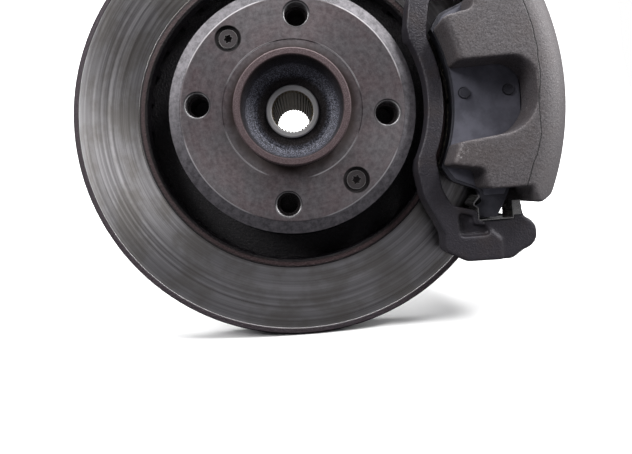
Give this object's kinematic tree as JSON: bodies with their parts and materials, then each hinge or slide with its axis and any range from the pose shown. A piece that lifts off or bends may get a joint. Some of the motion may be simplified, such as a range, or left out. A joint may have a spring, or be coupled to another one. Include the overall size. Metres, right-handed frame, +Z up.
{
  "type": "brake caliper with disc",
  "caption": "Vented front brake disc screwed to a splined wheel hub, gripped by a floating single-piston caliper on its carrier, with pads, shims, clips and guide pins.",
  "frame": {"origin": "centre of the hub's centring ring, in the plane of the disc's wheel face", "axes": "Y is the disc's axis and -Y points to the wheel side; +X runs out through the middle of the caliper; Z is up"},
  "size_m": [0.2865, 0.127, 0.266],
  "materials": {
    "disc_iron": "machined and worn",
    "hub_steel": "forged, lightly rusted",
    "screw_steel": "dull",
    "carrier_iron": "dark coated casting",
    "spring_steel": "bright",
    "boot_rubber": "matt",
    "caliper_iron": "coated rough casting",
    "plated_steel": "zinc plated",
    "yellow_plated": "yellow passivated",
    "cap_rubber": "matt",
    "piston_steel": "ground",
    "plate_paint": "satin powder coat",
    "friction_lining": "dry granular",
    "shim_coat": "satin"
  },
  "bodies": {
    "carrier": {"carrier": "carrier_iron", "clips_outboard": "spring_steel", "clips_inboard": "spring_steel", "pin_boots": "boot_rubber"},
    "rotor": {"brake_disc": "disc_iron", "wheel_hub": "hub_steel", "disc_screws": "screw_steel"},
    "caliper": {"caliper_body": "caliper_iron", "guide_pins": "plated_steel", "guide_bolts": "plated_steel", "piston_seal": "boot_rubber", "dust_boot": "boot_rubber", "bleed_screw": "yellow_plated", "bleed_cap": "cap_rubber"},
    "piston": {"piston": "piston_steel"},
    "outer_pad": {"outer_plate": "plate_paint", "outer_lining": "friction_lining", "outer_shim": "shim_coat"},
    "inner_pad": {"inner_plate": "plate_paint", "inner_lining": "friction_lining", "inner_shim": "shim_coat", "inner_spring": "spring_steel"}
  },
  "joints": [
    {"name": "rotor_spin", "type": "hinge", "parent": "carrier", "child": "rotor", "pos_m": [0, 0, 0], "axis": [0, 1, 0], "continuous": true},
    {"name": "caliper_slide", "type": "slide", "parent": "carrier", "child": "caliper", "axis": [0, 1, 0], "range_m": [-0.003, 0], "deforming": ["pin_boots"]},
    {"name": "piston_slide", "type": "slide", "parent": "caliper", "child": "piston", "axis": [0, 1, 0], "range_m": [0, 0.006], "deforming": ["dust_boot"]},
    {"name": "outer_pad_slide", "type": "slide", "parent": "carrier", "child": "outer_pad", "axis": [0, 1, 0], "range_m": [-0.003, 0]},
    {"name": "inner_pad_slide", "type": "slide", "parent": "carrier", "child": "inner_pad", "axis": [0, 1, 0], "range_m": [0, 0.003]}
  ],
  "couplings": [
    {"joint": "piston_slide", "follows": "caliper_slide", "ratio": -2},
    {"joint": "outer_pad_slide", "follows": "caliper_slide", "ratio": 1},
    {"joint": "inner_pad_slide", "follows": "caliper_slide", "ratio": -1}
  ]
}
